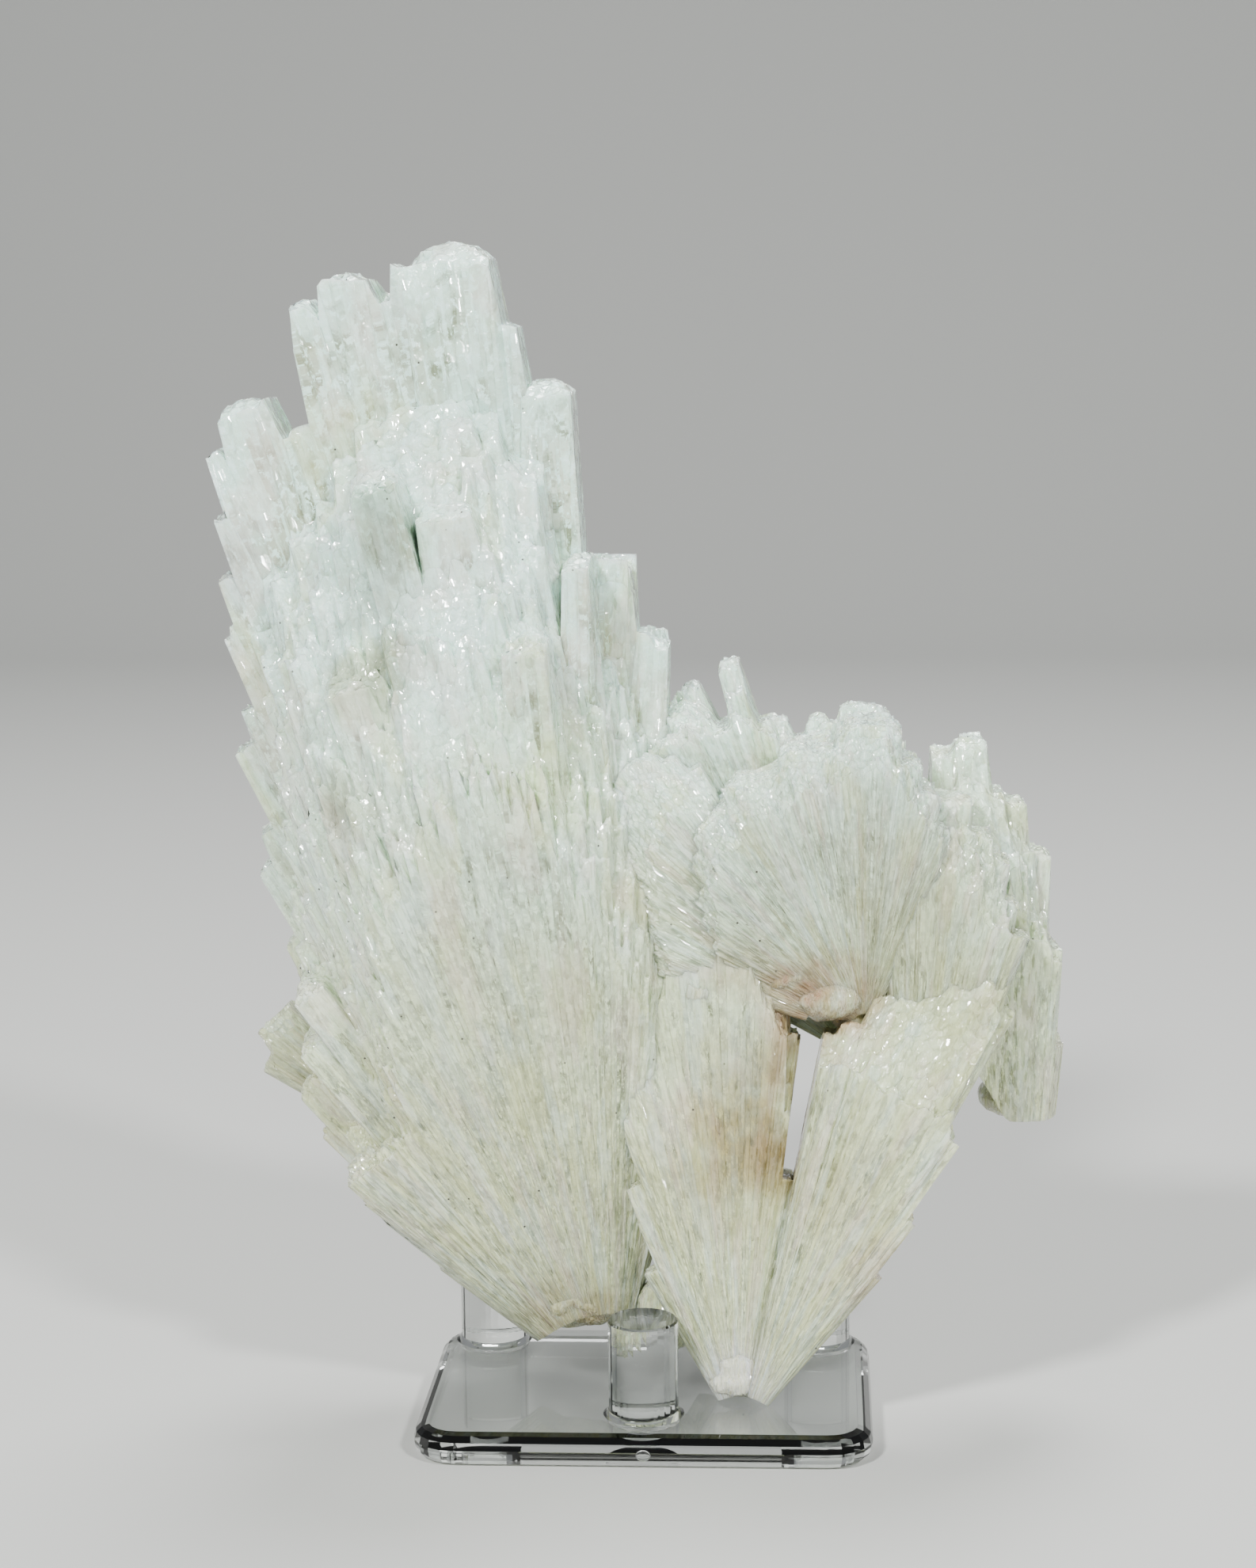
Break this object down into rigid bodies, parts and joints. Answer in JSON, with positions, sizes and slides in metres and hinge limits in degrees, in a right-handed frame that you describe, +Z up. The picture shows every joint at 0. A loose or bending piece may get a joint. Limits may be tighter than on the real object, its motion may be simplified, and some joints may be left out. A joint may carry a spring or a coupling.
{
  "type": "scolecite crystal cluster on a display stand",
  "caption": "White scolecite cluster of radiating prismatic sprays, resting in a clear acrylic peg stand.",
  "frame": {"origin": "centre of the stand's underside", "axes": "+Z up, +X to the right as seen from the front peg's side, +Y from the front peg towards the two back pegs"},
  "size_m": [0.1149, 0.061, 0.1591],
  "materials": {
    "mineral": "glassy to silky, finely striated",
    "acrylic": "clear, polished"
  },
  "bodies": {
    "root": {"scolecite": "mineral", "stand_base": "acrylic", "peg_front": "acrylic", "peg_back_left": "acrylic", "peg_back_right": "acrylic"}
  },
  "joints": []
}
